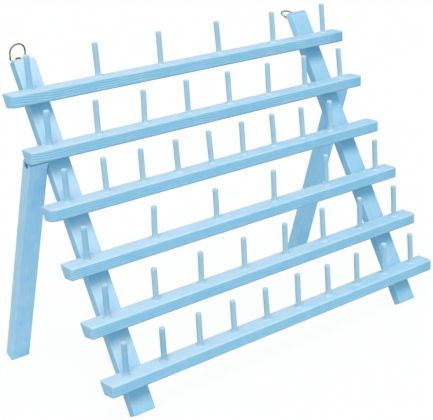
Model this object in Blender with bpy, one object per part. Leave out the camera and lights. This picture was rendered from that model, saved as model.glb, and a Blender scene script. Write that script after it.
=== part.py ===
"""Thread rack: a leaning board of peg rails for spools of thread.

Two uprights carry six rails of pegs. Two rear legs fold flat behind the board,
and two ring hangers on the uprights' backs hold it on a wall instead.
Across is X, the back is +Y and up is +Z. The origin is under the middle of the rack.
"""

import math

import bmesh
import bpy
from mathutils import Matrix, Vector

# Clearance between pieces, easing of sawn edges, overrun of cuts
GAP = 0.0003
EDGE_EASE = 0.0005
OVERRUN = 0.002

# Sides of round wooden and metal pieces
ROUND_SIDES = 12
WIRE_SIDES = 8
ARC_STEPS = 6
RING_ARC_STEPS = 12

# Rows from the top rail down: evenly spaced places, how many at the right end stay bare,
# and whether the pegs are one piece with their rail
ROW_PLACES = (6, 8, 10, 6, 8, 10)
ROW_BARE = (0, 0, 1, 0, 0, 0)
ROW_JOINED = (True, False, False, False, False, False)

# Rails: strips with level tops, fixed across the uprights' fronts
PEG_SPAN = 0.3555
RAIL_OVERHANG = 0.0216
RAIL_FRONT_HEIGHT = 0.0104
RAIL_TOP_DEPTH = 0.02005
RAIL_TILT = math.radians(28.9)
RAIL_PITCH = 0.05335
LOWEST_RAIL_UP = 0.02115

# Pegs: dowels in blind sockets, square to the rails' tops
PEG_RADIUS = 0.00265
PEG_STAND = 0.03275
PEG_SOCKET = 0.008
PEG_TIP_EASE = 0.0006

# Uprights: strips that lean back, cut square at both ends
LEAN = math.radians(25.2)
UPRIGHT_LENGTH = 0.335
UPRIGHT_WIDTH = 0.02095
UPRIGHT_THICKNESS = 0.0097
HANGER_ROOM = 0.02
LEFT_UPRIGHT_INSET = 0.02055
RIGHT_UPRIGHT_INSET = 0.02545

# Rear legs: outside the uprights, hung just under the back edge of the second rail
LEG_WIDTH = 0.0185
LEG_DEPTH = 0.0124
LEG_SPACE = 0.0009
LEG_SPLAY = math.radians(25.2)
PIVOT_UNDER_RAIL = 0.004
PIVOT_BEHIND_FRONT = 0.0054
STOP_RAIL = 1

# Pivot screws: driven through the uprights' inner edges into the legs, heads sunk
PIVOT_SCREW_RADIUS = 0.0018
PIVOT_SCREW_HEAD = 0.0029
PIVOT_SCREW_BITE = 0.014
HEAD_SINK = 0.0003
SCREW_TIP = 0.0025

# Hangers: a wire ring whose bar turns in the fold of a strap
RING_WIRE_RADIUS = 0.00065
RING_HALF_WIDTH = 0.0076
RING_STRAIGHT = 0.0077
RING_CORNER = 0.0014
FOLD_RADIUS = 0.002
FOLD_LENGTH = 0.0048
FOLD_STEP = 0.0001
STRAP_THICKNESS = 0.001
STRAP_NECK_WIDTH = 0.0044
STRAP_WIDTH = 0.008
STRAP_REACH = 0.0135
STRAP_SHOULDER = 0.0045
STRAP_SCREW_DROP = 0.009
STRAP_SCREW_RADIUS = 0.0011
STRAP_SCREW_HEAD = 0.0023
STRAP_SCREW_HEAD_HEIGHT = 0.0011
STRAP_SCREW_LENGTH = 0.0068
LEFT_HANGER_RISE = 0.0046
RIGHT_HANGER_RISE = -0.003
LEFT_RING_SWING = math.radians(43.9)
RIGHT_RING_SWING = math.radians(-39.5)

# Colours, roughness and metal share of each finish
BLUE_PAINT = ((0.44, 0.74, 0.91), 0.5, 0.0)
AGED_BRASS = ((0.40, 0.33, 0.20), 0.4, 1.0)
SCREW_STEEL = ((0.55, 0.54, 0.52), 0.35, 1.0)

# Rail section, measured up the upright and outwards from its front face
RAIL_TOP_FRONT_UP = RAIL_FRONT_HEIGHT * math.cos(RAIL_TILT)
RAIL_TOP_FRONT_OUT = RAIL_TOP_DEPTH * math.cos(RAIL_TILT)
RAIL_TOP_BACK_UP = RAIL_TOP_FRONT_UP + RAIL_TOP_DEPTH * math.sin(RAIL_TILT)
RAIL_LOW_FRONT_OUT = RAIL_TOP_FRONT_OUT - RAIL_FRONT_HEIGHT * math.sin(RAIL_TILT)
RAIL_LOW_BACK_UP = RAIL_LOW_FRONT_OUT * math.tan(RAIL_TILT)
RAIL_BACK_OUT = GAP

# Places across, measured from the first peg
RAIL_LEFT = -RAIL_OVERHANG
RAIL_RIGHT = PEG_SPAN + RAIL_OVERHANG
LEFT_UPRIGHT_X = RAIL_LEFT + LEFT_UPRIGHT_INSET
RIGHT_UPRIGHT_X = RAIL_RIGHT - RIGHT_UPRIGHT_INSET - UPRIGHT_WIDTH
LEFT_LEG_X = LEFT_UPRIGHT_X - LEG_SPACE - LEG_WIDTH
RIGHT_LEG_X = RIGHT_UPRIGHT_X + UPRIGHT_WIDTH + LEG_SPACE
MIDDLE_X = (min(RAIL_LEFT, LEFT_LEG_X) + max(RAIL_RIGHT, RIGHT_LEG_X + LEG_WIDTH)) / 2


def rail_up(row):
    """Height up the uprights of a rail's lower front edge; row 0 is the top rail."""
    return LOWEST_RAIL_UP + (len(ROW_PLACES) - 1 - row) * RAIL_PITCH


def lean_back(up, out):
    """Depth and height of a point of the board, from the foot of the uprights' fronts."""
    depth = up * math.sin(LEAN) - out * math.cos(LEAN)
    height = up * math.cos(LEAN) + out * math.sin(LEAN) + UPRIGHT_THICKNESS * math.sin(LEAN)
    return depth, height


# Leg pivot: folded, the leg's front face lies level with the uprights' fronts
STOP_UP = rail_up(STOP_RAIL) + RAIL_LOW_BACK_UP
PIVOT_UP = STOP_UP - PIVOT_UNDER_RAIL
PIVOT_OUT = -PIVOT_BEHIND_FRONT
LEG_FRONT = -PIVOT_BEHIND_FRONT
LEG_BACK = LEG_DEPTH - PIVOT_BEHIND_FRONT
PIVOT_DEPTH, PIVOT_HEIGHT = lean_back(PIVOT_UP, PIVOT_OUT)
LEG_REACH = (PIVOT_HEIGHT + LEG_FRONT * math.sin(LEG_SPLAY)) / math.cos(LEG_SPLAY)

# Leg end: square behind, rounded in front so that it swings past the rail that stops it
STOP_RADIUS = math.hypot(PIVOT_UNDER_RAIL, RAIL_BACK_OUT - PIVOT_OUT)
STOP_ANGLE = math.atan2(RAIL_BACK_OUT - PIVOT_OUT, PIVOT_UNDER_RAIL)
LEG_END_RADIUS = STOP_RADIUS - GAP
LEG_END_ANGLE = LEG_SPLAY + LEAN - STOP_ANGLE
LEG_FRONT_ANGLE = math.asin(LEG_FRONT / LEG_END_RADIUS)


def eased(outline, ease):
    """The outline with each corner cut off, the same distance along both edges."""
    points = []
    for index, corner in enumerate(outline):
        corner = Vector(corner)
        for neighbour in (outline[index - 1], outline[(index + 1) % len(outline)]):
            along = (Vector(neighbour) - corner).normalized()
            points.append(corner + along * ease)
    return points


def rectangle(low_a, high_a, low_b, high_b):
    """Corners of a rectangle, in order."""
    return [(low_a, low_b), (high_a, low_b), (high_a, high_b), (low_a, high_b)]


def rail_outline(up):
    """Rail section as (up, out) points: a strip with its back cut to sit on the uprights."""
    corners = [
        (up, RAIL_BACK_OUT + RAIL_LOW_FRONT_OUT),
        (up + RAIL_TOP_FRONT_UP, RAIL_BACK_OUT + RAIL_TOP_FRONT_OUT),
        (up + RAIL_TOP_BACK_UP, RAIL_BACK_OUT),
        (up + RAIL_LOW_BACK_UP, RAIL_BACK_OUT),
    ]
    return eased(corners, EDGE_EASE)


# The board's foot is set so that the whole rack is centred front to back
FRONT_DEPTH = min(lean_back(up, out)[0] for up, out in rail_outline(LOWEST_RAIL_UP))
FOOT_DEPTH = PIVOT_DEPTH + LEG_REACH * math.sin(LEG_SPLAY) + LEG_BACK * math.cos(LEG_SPLAY)
MIDDLE_DEPTH = (FRONT_DEPTH + FOOT_DEPTH) / 2


def clear_radius(radius):
    """Radius of a faceted hole whose flats clear a round piece by the gap."""
    return (radius + GAP) / math.cos(math.pi / ROUND_SIDES)


def add_prism(mesh, outline, stations, place):
    """Closed solid through copies of an outline, one at each station along it.

    place turns (a, b, along) into a point.
    """
    rings = [[mesh.verts.new(place(a, b, along)) for a, b in outline] for along in stations]
    mesh.faces.new(rings[0])
    mesh.faces.new(rings[-1])
    for first, last in zip(rings, rings[1:]):
        for index in range(len(outline)):
            after = (index + 1) % len(outline)
            mesh.faces.new((first[index], first[after], last[after], last[index]))
    bmesh.ops.recalc_face_normals(mesh, faces=mesh.faces)


def add_turned(mesh, profile, matrix, sides=ROUND_SIDES, hollow=False):
    """Solid of revolution about Z from (radius, height) points, then placed by the matrix.

    A hollow profile is a closed ring of points; any other is capped at both ends.
    """
    rings = []
    for radius, height in profile:
        turns = range(sides if radius else 1)
        angles = [2 * math.pi * turn / sides for turn in turns]
        points = [Vector((radius * math.cos(a), radius * math.sin(a), height)) for a in angles]
        rings.append([mesh.verts.new(matrix @ point) for point in points])
    pairs = list(zip(rings, rings[1:]))
    if hollow:
        pairs.append((rings[-1], rings[0]))
    else:
        for ring in (rings[0], rings[-1]):
            if len(ring) > 1:
                mesh.faces.new(ring)
    for low, high in pairs:
        for turn in range(sides):
            after = (turn + 1) % sides
            corners = [low[turn % len(low)], low[after % len(low)]]
            corners += [high[after % len(high)], high[turn % len(high)]]
            mesh.faces.new(list(dict.fromkeys(corners)))
    bmesh.ops.recalc_face_normals(mesh, faces=mesh.faces)


def add_wire_loop(mesh, path, radius, sides=WIRE_SIDES):
    """Closed wire along a closed path of (x, z) points, mitred at each point."""
    rings = []
    count = len(path)
    for index in range(count):
        before = Vector(path[index - 1])
        here = Vector(path[index])
        after = Vector(path[(index + 1) % count])
        into = (here - before).normalized()
        away = (after - here).normalized()
        inward = Vector((-(into + away).y, (into + away).x)).normalized()
        stretch = 1 / math.cos(into.angle(away) / 2)
        ring = []
        for side in range(sides):
            angle = 2 * math.pi * side / sides
            flat = here + inward * radius * math.cos(angle) * stretch
            ring.append(mesh.verts.new((flat.x, radius * math.sin(angle), flat.y)))
        rings.append(ring)
    for index in range(count):
        low = rings[index]
        high = rings[(index + 1) % count]
        for side in range(sides):
            after = (side + 1) % sides
            mesh.faces.new((low[side], low[after], high[after], high[side]))
    bmesh.ops.recalc_face_normals(mesh, faces=mesh.faces)


def finish(name, look):
    """The piece's own material."""
    colour, roughness, metallic = look
    material = bpy.data.materials.new(name + "_finish")
    material.use_nodes = True
    shader = material.node_tree.nodes["Principled BSDF"]
    shader.inputs["Base Color"].default_value = (*colour, 1)
    shader.inputs["Roughness"].default_value = roughness
    shader.inputs["Metallic"].default_value = metallic
    material.diffuse_color = (*colour, 1)
    return material


def piece(name, mesh, parent, look, smooth=False):
    """A named object made from the bmesh, under its parent."""
    data = bpy.data.meshes.new(name)
    mesh.to_mesh(data)
    mesh.free()
    if smooth:
        data.shade_smooth()
        data.set_sharp_from_angle(angle=math.radians(40))
    if look:
        data.materials.append(finish(name, look))
    made = bpy.data.objects.new(name, data)
    made.parent = parent
    bpy.context.scene.collection.objects.link(made)
    return made


def cutter(name, mesh, parent):
    """A guide shape that cuts or joins other pieces and isn't one itself."""
    made = piece(name, mesh, parent, None)
    made.hide_render = True
    made.display_type = "WIRE"
    return made


def guide(name, parent, location, turn):
    """An empty on the axis of a piece, turned about X."""
    made = bpy.data.objects.new(name, None)
    made.parent = parent
    made.location = location
    made.rotation_euler = (turn, 0, 0)
    bpy.context.scene.collection.objects.link(made)
    return made


def combine(target, other, operation):
    """A live Boolean of one piece with another."""
    modifier = target.modifiers.new(operation.lower() + "_" + other.name, "BOOLEAN")
    modifier.operation = operation
    modifier.solver = "EXACT"
    modifier.object = other


def on_board(across, up, out):
    """Point in the board's own axes: X across, Z up the uprights, Y into their backs."""
    return Vector((across, -out, up))


def facing(direction):
    """Turn that carries Z onto a direction in the board's own axes."""
    return Vector(direction).to_track_quat("Z", "Y").to_matrix().to_4x4()


def screw_profile(radius, head_radius, length):
    """Countersunk screw from its head's face down to its point."""
    cone = head_radius - radius
    return [(head_radius, 0), (radius, cone), (radius, length - SCREW_TIP), (0, length)]


def screw_hole_profile(radius, head_radius, length):
    """Hole that clears the screw, open above its head."""
    shank = clear_radius(radius)
    head = clear_radius(head_radius + GAP)
    return [(head, -OVERRUN), (head, 0), (shank, head - shank), (shank, length + GAP)]


def upright_middle(left_edge):
    return left_edge + UPRIGHT_WIDTH / 2


def make_upright(side, left_edge, board):
    """Upright strip with eased long edges, its faces parted below the hanger."""
    mesh = bmesh.new()
    section = rectangle(left_edge, left_edge + UPRIGHT_WIDTH, -UPRIGHT_THICKNESS, 0)
    section = eased(section, EDGE_EASE)
    stations = (0, UPRIGHT_LENGTH - HANGER_ROOM, UPRIGHT_LENGTH)
    add_prism(mesh, section, stations, lambda across, out, up: on_board(across, up, out))
    return piece("upright_" + side, mesh, board, BLUE_PAINT)


def peg_matrix(row, place):
    """Frame of a peg: its foot on the middle of the rail's top, Z along the peg."""
    across = PEG_SPAN * place / (ROW_PLACES[row] - 1)
    up = rail_up(row) + (RAIL_TOP_FRONT_UP + RAIL_TOP_BACK_UP) / 2
    out = RAIL_BACK_OUT + RAIL_TOP_FRONT_OUT / 2
    turn = Matrix.Rotation(RAIL_TILT, 4, "X")
    return Matrix.Translation(on_board(across, up, out)) @ turn


def make_rail(row, board):
    """One rail with its pegs: dowels in sockets, or one piece with the rail."""
    mesh = bmesh.new()
    section = rail_outline(rail_up(row))
    ends = (RAIL_LEFT, RAIL_RIGHT)
    add_prism(mesh, section, ends, lambda up, out, across: on_board(across, up, out))
    rail = piece(f"rail_{row + 1}", mesh, board, BLUE_PAINT)

    peg_profile = [
        (PEG_RADIUS, -PEG_SOCKET),
        (PEG_RADIUS, PEG_STAND - PEG_TIP_EASE),
        (PEG_RADIUS - PEG_TIP_EASE, PEG_STAND),
    ]
    pegs = range(ROW_PLACES[row] - ROW_BARE[row])
    if ROW_JOINED[row]:
        mesh = bmesh.new()
        for place in pegs:
            add_turned(mesh, peg_profile, peg_matrix(row, place))
        combine(rail, cutter(f"rail_{row + 1}_pegs", mesh, board), "UNION")
        return

    for place in pegs:
        mesh = bmesh.new()
        add_turned(mesh, peg_profile, peg_matrix(row, place))
        piece(f"peg_{row + 1}_{place + 1}", mesh, board, BLUE_PAINT, smooth=True)
    socket = clear_radius(PEG_RADIUS)
    socket_profile = [(socket, -PEG_SOCKET - GAP), (socket, OVERRUN)]
    mesh = bmesh.new()
    for place in pegs:
        add_turned(mesh, socket_profile, peg_matrix(row, place))
    combine(rail, cutter(f"rail_{row + 1}_sockets", mesh, board), "DIFFERENCE")


def leg_outline():
    """Leg side view as (along, back) points from the pivot."""
    flat_end = LEG_END_RADIUS * math.cos(LEG_END_ANGLE)
    points = [(-LEG_REACH, LEG_FRONT), (-LEG_REACH, LEG_BACK), (flat_end, LEG_BACK)]
    sweep = LEG_FRONT_ANGLE - LEG_END_ANGLE
    for step in range(ARC_STEPS + 1):
        angle = LEG_END_ANGLE + sweep * step / ARC_STEPS
        points.append((LEG_END_RADIUS * math.cos(angle), LEG_END_RADIUS * math.sin(angle)))
    return points


def ease_leg(mesh):
    """Ease the edges round both sides of the leg, but not across its foot."""
    edges = []
    for edge in mesh.edges:
        low, high = (vertex.co for vertex in edge.verts)
        round_side = abs(low.x - high.x) < GAP
        at_foot = max(low.z, high.z) < -LEG_REACH + GAP
        if round_side and not at_foot:
            edges.append(edge)
    bmesh.ops.bevel(mesh, geom=edges, offset=EDGE_EASE, segments=1, profile=0.5, affect="EDGES")


def make_leg(side, upright, upright_edge, leg_edge, board):
    """Rear leg on its pivot, with its screw."""
    outward = -1 if side == "left" else 1
    inner_face = upright_edge if outward > 0 else upright_edge + UPRIGHT_WIDTH
    pivot_place = on_board(upright_middle(upright_edge), PIVOT_UP, PIVOT_OUT)
    pivot = guide("leg_pivot_" + side, board, pivot_place, LEAN + LEG_SPLAY)

    start = leg_edge - pivot_place.x
    mesh = bmesh.new()
    sides = (start, start + LEG_WIDTH)
    add_prism(mesh, leg_outline(), sides, lambda along, back, x: (x, back, along))
    ease_leg(mesh)
    leg = piece("rear_leg_" + side, mesh, pivot, BLUE_PAINT)

    length = UPRIGHT_WIDTH + LEG_SPACE + PIVOT_SCREW_BITE - HEAD_SINK
    head = Vector((inner_face + outward * HEAD_SINK - pivot_place.x, 0, 0))
    matrix = Matrix.Translation(head) @ facing((outward, 0, 0))
    mesh = bmesh.new()
    add_turned(mesh, screw_profile(PIVOT_SCREW_RADIUS, PIVOT_SCREW_HEAD, length), matrix)
    piece("pivot_screw_" + side, mesh, pivot, SCREW_STEEL, smooth=True)
    mesh = bmesh.new()
    add_turned(mesh, screw_hole_profile(PIVOT_SCREW_RADIUS, PIVOT_SCREW_HEAD, length), matrix)
    holes = cutter("pivot_holes_" + side, mesh, pivot)
    combine(upright, holes, "DIFFERENCE")
    combine(leg, holes, "DIFFERENCE")


def ring_path():
    """Centre line of the ring: a straight bar, two short sides and a half circle."""
    points = []
    for corner_side in (-1, 1):
        for step in range(3):
            angle = math.pi / 4 * step
            along = RING_HALF_WIDTH - RING_CORNER + RING_CORNER * math.sin(angle)
            rise = RING_CORNER - RING_CORNER * math.cos(angle)
            points.append((corner_side * along, rise))
    left_corner = points[:3][::-1]
    right_corner = points[3:]
    arc = []
    for step in range(RING_ARC_STEPS + 1):
        angle = math.pi * step / RING_ARC_STEPS
        rise = RING_STRAIGHT + RING_HALF_WIDTH * math.sin(angle)
        arc.append((RING_HALF_WIDTH * math.cos(angle), rise))
    return left_corner + right_corner + arc


def strap_outline():
    """Strap seen from behind as (across, up) points from the ring's bar."""
    neck = STRAP_NECK_WIDTH / 2
    half = STRAP_WIDTH / 2
    points = [(neck, 0), (neck, -STRAP_SHOULDER), (half, -STRAP_SHOULDER - (half - neck))]
    for step in range(ARC_STEPS + 1):
        angle = -math.pi * step / ARC_STEPS
        points.append((half * math.cos(angle), half - STRAP_REACH + half * math.sin(angle)))
    points += [(-half, -STRAP_SHOULDER - (half - neck)), (-neck, -STRAP_SHOULDER), (-neck, 0)]
    return points


def make_hanger(side, upright, upright_edge, rise, swing, board):
    """Ring hanger: strap with its fold, the ring on its bar, and the strap's screw."""
    fold_behind = GAP + FOLD_STEP + FOLD_RADIUS
    bar = on_board(upright_middle(upright_edge), UPRIGHT_LENGTH + rise, -UPRIGHT_THICKNESS - fold_behind)
    hinge = guide("ring_hinge_" + side, board, bar, swing)
    mesh = bmesh.new()
    add_wire_loop(mesh, ring_path(), RING_WIRE_RADIUS)
    piece("hanger_ring_" + side, mesh, hinge, AGED_BRASS, smooth=True)

    seat = guide("strap_seat_" + side, board, bar, 0)
    front = GAP - fold_behind
    faces = (front, front + STRAP_THICKNESS)
    mesh = bmesh.new()
    add_prism(mesh, strap_outline(), faces, lambda across, up, back: (across, back, up))
    strap = piece("hanger_strap_" + side, mesh, seat, AGED_BRASS)
    bore = clear_radius(RING_WIRE_RADIUS)
    half = FOLD_LENGTH / 2
    fold_profile = [(bore, -half), (FOLD_RADIUS, -half), (FOLD_RADIUS, half), (bore, half)]
    mesh = bmesh.new()
    add_turned(mesh, fold_profile, facing((1, 0, 0)), hollow=True)
    combine(strap, cutter("strap_fold_" + side, mesh, seat), "UNION")

    head_face = Vector((0, front + STRAP_THICKNESS + GAP, -STRAP_SCREW_DROP))
    matrix = Matrix.Translation(head_face) @ facing((0, -1, 0))
    screw = [
        (STRAP_SCREW_HEAD / 2, -STRAP_SCREW_HEAD_HEIGHT),
        (STRAP_SCREW_HEAD, -STRAP_SCREW_HEAD_HEIGHT / 2),
        (STRAP_SCREW_HEAD, 0),
        (STRAP_SCREW_RADIUS, 0),
        (STRAP_SCREW_RADIUS, STRAP_SCREW_LENGTH - SCREW_TIP),
        (0, STRAP_SCREW_LENGTH),
    ]
    mesh = bmesh.new()
    add_turned(mesh, screw, matrix)
    piece("strap_screw_" + side, mesh, seat, SCREW_STEEL, smooth=True)
    mesh = bmesh.new()
    hole = clear_radius(STRAP_SCREW_RADIUS)
    add_turned(mesh, [(hole, -OVERRUN), (hole, STRAP_SCREW_LENGTH + GAP)], matrix)
    holes = cutter("strap_screw_hole_" + side, mesh, seat)
    combine(strap, holes, "DIFFERENCE")
    combine(upright, holes, "DIFFERENCE")


def make_rack():
    for old in list(bpy.data.objects):
        bpy.data.objects.remove(old)
    foot = (-MIDDLE_X, -MIDDLE_DEPTH, UPRIGHT_THICKNESS * math.sin(LEAN))
    board = guide("board", None, foot, -LEAN)
    left = make_upright("left", LEFT_UPRIGHT_X, board)
    right = make_upright("right", RIGHT_UPRIGHT_X, board)
    for row in range(len(ROW_PLACES)):
        make_rail(row, board)
    make_leg("left", left, LEFT_UPRIGHT_X, LEFT_LEG_X, board)
    make_leg("right", right, RIGHT_UPRIGHT_X, RIGHT_LEG_X, board)
    make_hanger("left", left, LEFT_UPRIGHT_X, LEFT_HANGER_RISE, LEFT_RING_SWING, board)
    make_hanger("right", right, RIGHT_UPRIGHT_X, RIGHT_HANGER_RISE, RIGHT_RING_SWING, board)
    bpy.context.view_layer.update()


make_rack()
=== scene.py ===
"""Looks of the thread rack: blue painted strips, dowel pegs, brass rings and screws.

Every piece is a surface worked out with numpy on a grid of two parameters. Lengths are metres.
"""

import math

import bpy
import numpy as np
from mathutils import Matrix, Vector


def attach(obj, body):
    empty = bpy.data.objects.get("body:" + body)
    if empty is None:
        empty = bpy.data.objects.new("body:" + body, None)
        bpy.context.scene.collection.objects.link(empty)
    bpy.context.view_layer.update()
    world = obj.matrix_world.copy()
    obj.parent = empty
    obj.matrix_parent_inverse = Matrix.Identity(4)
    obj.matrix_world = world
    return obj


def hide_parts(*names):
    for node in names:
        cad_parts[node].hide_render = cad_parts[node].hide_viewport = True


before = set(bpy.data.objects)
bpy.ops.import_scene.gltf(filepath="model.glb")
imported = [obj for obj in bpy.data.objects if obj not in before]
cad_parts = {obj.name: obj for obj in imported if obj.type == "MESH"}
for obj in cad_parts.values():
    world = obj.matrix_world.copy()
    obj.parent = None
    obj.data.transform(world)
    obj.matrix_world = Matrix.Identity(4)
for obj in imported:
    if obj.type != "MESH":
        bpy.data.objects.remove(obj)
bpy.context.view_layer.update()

MM = 0.001

# Camera: where it stands, how it is turned, and its focal length and centre in pixels
IMAGE_WIDTH = 433
IMAGE_HEIGHT = 420
CAMERA_PLACE = (-0.58385, -0.83057, 0.42974)
CAMERA_AZIMUTH = 0.6359
CAMERA_DIP = 0.2440
CAMERA_ROLL = -0.0916
CAMERA_FOCAL = 1038.2
CAMERA_CENTRE = (233.06, 160.39)
SENSOR_WIDTH = 36.0

# Direction of the faces on which the strongest highlight is painted, as paler paint
TOWARDS_LIGHT = (-0.24, -0.46, 0.855)

# Board frame and sizes. A little off the solids' own are the legs' width, space and upper ends,
# the rails' left ends and low back edges, the uprights' backs and the rings' wire
RACK_WIDTH = 0.400
BOARD_FOOT = (-0.17775, -0.104988, 0.00413)
LEAN = math.radians(25.2)
SPLAY = math.radians(25.2)
UPRIGHT_LENGTH = 0.335
UPRIGHT_WIDTH = 0.02095
UPRIGHT_THICKNESS = 0.0097
UPRIGHT_BACK = -0.0100
UPRIGHT_EDGES = {"left": -0.00105, "right": 0.3307}
# How far an upright's two sides are moved, its front top edge is rounded and its top raised
UPRIGHT_NUDGES = {"left": (-0.0002, 0.0006), "right": (0.0001, 0.0008)}
UPRIGHT_TOP_ROUNDS = {"left": 0.0026, "right": 0.0044}
UPRIGHT_TOP_RISES = {"left": 0.0011, "right": 0.0003}
RAIL_ENDS = (-0.0229, 0.3771)
RAIL_PITCH = 0.05335
LOWEST_RAIL_UP = 0.02115
RAIL_TILT = math.radians(28.9)
TILT_COS, TILT_SIN = math.cos(RAIL_TILT), math.sin(RAIL_TILT)
RAIL_FRONT_HEIGHT = 0.0104
RAIL_TOP_DEPTH = 0.02005
RAIL_BACK_OUT = 0.0003
RAIL_LOW_BACK_RISE = 0.0048
RAIL_SWELL = 0.00055
PEG_SPAN = 0.3555
PEG_RADIUS = 0.00265
PEG_STAND = 0.03275
PEG_TIP_EASE = 0.75 * MM
PEG_FILLET_RISE = 2.1
LEG_WIDTH = 0.0201
LEG_SPACE = 0.0003
LEG_FRONT = -0.0054
LEG_BACK = 0.0070
LEG_REACH = 0.236948
LEG_TOP = 0.0063
LEG_TOP_ROUNDS = (0.0010, 0.0030)
PIVOT_RECESS = {"back": 0.0013, "along": 0.0020, "radius": 0.0034, "depth": 0.0024}
# Each leg's strays in mm, at its top and at its foot: inner side, outer side, backwards
LEG_STRAYS = {
    "left": ((0.0, 0.0), (-0.8, -0.2), (0.0, 0.2)),
    "right": ((0.7, 0.7), (0.3, 1.3), (3.4, 0.0)),
}
PIVOT = (0.237465, -0.0054)
ACROSS = np.array([1.0, 0.0, 0.0])
OUTWARD = {"left": -1.0, "right": 1.0}

# Hangers: a ring's sizes, each bar's rise over its upright's end and the ring's swing and turn in
# degrees, then the strap and its screw's place
RING_WIRE_RADIUS = 0.00078
RING_HALF_WIDTH = 0.0076
RING_STRAIGHT = 0.0077
RING_CORNER = 0.0014
WIRE_SIDES = 14
HANGERS = {"left": (0.0046, 43.9), "right": (-0.0030, -39.5)}
RING_TURNS = {"left": -5.0, "right": 0.0}
FOLD_RADIUS = 0.0020
FOLD_GAP = 0.1 * MM
STRAP_THICKNESS = 0.0010
STRAP_GAP = 0.3 * MM
STRAP_SCREW_DROP = 9 * MM
STRAP_SCREW_TURN = 0.6

# Screws: head radius, dome, slot depth, shank radius and length, and rim
STRAP_SCREW = (2.3 * MM, 0.55 * MM, 0.4 * MM, 1.1 * MM, 6.4 * MM, 0.45 * MM)
PIVOT_SCREW = (2.9 * MM, 0.05 * MM, 0.5 * MM, 1.8 * MM, 34 * MM, 0.0)
RAIL_SCREW = (2.9 * MM, 0.12 * MM, 0.3 * MM, 1.2 * MM, 5 * MM, 0.05 * MM)

# Rows from the top: how many places, how many stay bare at the right end
ROW_PLACES = (6, 8, 10, 6, 8, 10)
ROW_BARE = (0, 0, 1, 0, 0, 0)

# By row: rise over its even place in mm, depth in mm and clearness of the saw marks, tone of the top
ROW_RISES = (0.2, 0.15, 0.15, -0.15, -0.2, 0.65)
SAW_DEPTH = (0.050, 0.044, 0.030, 0.040, 0.030, 0.030)
SAW_CLARITY = (1.0, 0.95, 0.4, 0.6, 0.4, 0.5)
ROW_TOP_TONES = (0.965, 0.99, 0.99, 1.01, 1.01, 1.01)
# By row: radius of the front corners in mm, shade painted on the right end, how far in mm the
# left end's front lies further in, and how far in mm each end reaches further out
ROW_CORNERS = {"left": (8.5, 6.0, 7.5, 3.2, 4.2, 1.6), "right": (2.5, 2.5, 3.0, 2.5, 3.0, 3.0)}
ROW_END_SHADES = (1.6, 0.9, 0.3, 0.6, 0.8, 1.0)
ROW_END_SKEWS = (0.3, 0.3, 0.3, 0.5, 1.2, 2.0)
SKEW_REACH = 25 * MM
ROW_ENDS = {"left": (0.1, -0.4, -0.4, -0.4, -0.3, -0.5), "right": (-0.3, 1.5, 1.1, 1.3, 2.7, 0.8)}

# How each hand-set peg strays, in mm: its foot and its tip along the rail, and its extra height
PEG_STRAYS = (
    ((0.5, 0.2, 0.3), (0.3, -0.7, 0.7), (0.1, -0.7, 0.8), (0.0, -1.8, 0.7), (0.7, -0.4, 0.3),
     (0.5, -1.0, -0.2)),
    ((0.9, 1.1, 0.4), (0.5, 0.5, 0.3), (0.8, 1.6, 0.2), (0.8, 0.3, 1.1), (1.0, 0.0, 0.6),
     (1.1, 0.8, 0.7), (0.4, -0.2, 0.5), (0.9, -1.8, 0.7)),
    ((-0.2, -0.8, -1.1), (0.5, -0.4, 0.2), (0.5, 0.1, -0.2), (1.0, -0.2, 0.1), (0.9, -1.0, 0.7),
     (1.0, 0.1, 1.6), (1.7, -0.4, 1.6), (1.2, -0.9, 1.0), (0.4, -0.6, 0.8)),
    ((-0.3, -0.9, -1.2), (0.1, 1.4, -1.1), (0.6, 0.3, -1.8), (1.1, 1.5, -0.1), (0.6, 0.2, 0.3),
     (0.8, 0.2, 0.8)),
    ((0.1, 0.1, -1.5), (0.5, 0.5, -1.3), (0.6, 1.3, -0.6), (1.0, 1.3, -0.8), (1.8, 2.0, 0.0),
     (1.7, 0.7, 2.8), (2.4, 2.2, 1.0), (2.1, 1.6, 1.6)),
    ((-0.7, -0.7, 0.2), (-0.5, -0.5, 0.5), (-0.2, -0.2, 1.1), (-0.1, -0.7, 0.9), (0.2, -0.9, 1.1),
     (0.2, 0.1, 3.4), (0.4, -0.3, 1.4), (0.7, 0.3, 2.0), (0.4, 0.0, 1.6), (0.7, -0.5, 1.8)),
)

# Dowels in the rails' bluer paint, by row and place, with their fading and tone
PEG_BLUES = {
    (0, 0): (0.22, 0.93), (1, 0): (0.18, 0.91), (2, 0): (0.20, 0.91), (3, 0): (0.15, 0.86),
    (4, 0): (0.13, 0.85), (5, 0): (0.14, 0.85), (5, 1): (0.18, 0.82), (1, 6): (0.42, 0.95),
    (2, 8): (0.32, 0.95), (3, 4): (0.34, 0.93), (4, 6): (0.34, 0.90), (5, 8): (0.30, 0.94),
}
# The other dowels' fading, and their tone by row
PEG_FADE = 0.43
ROW_PEG_TONES = (0.99, 0.99, 0.98, 0.96, 0.955, 0.955)

# Paint: its deep colour, also where shade is painted; its pale colour, where the paint has lost
# colour and where a highlight is painted; and at corners, from wear and a painted highlight
PAINT_DEEP = (0.285, 0.645, 0.885)
PAINT_FADED_AND_HIGHLIT = (0.565, 0.755, 0.905)
PAINT_WORN_AND_HIGHLIT = (0.62, 0.80, 0.93)
DOWEL_DEEP = (0.36, 0.60, 0.75)
DOWEL_FADED_AND_HIGHLIT = (0.53, 0.755, 0.88)
GRAIN_ACROSS = 760.0
GRAIN_ALONG = 34.0
SAW_SPACING = 2.3 * MM

# Legs' paleness and tone, each on the sides and on the front: light and shade painted by face
LEG_LOOKS = {"left": ((0.47, 0.34), (0.985, 1.255)), "right": ((0.22, 0.22), (1.15, 1.19))}
# Shade painted in the pivot's recess, and the width of the recess's rim
RECESS_PAINTED_SHADE = 0.84
RECESS_RIM = 0.5 * MM

# Shade painted on an upright below a rail, right and left, in mm: where it starts to fade out,
# and over what way
LEE_STARTS = (8.0, 6.0)
LEE_REACHES = (15.0, 7.5)

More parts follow.
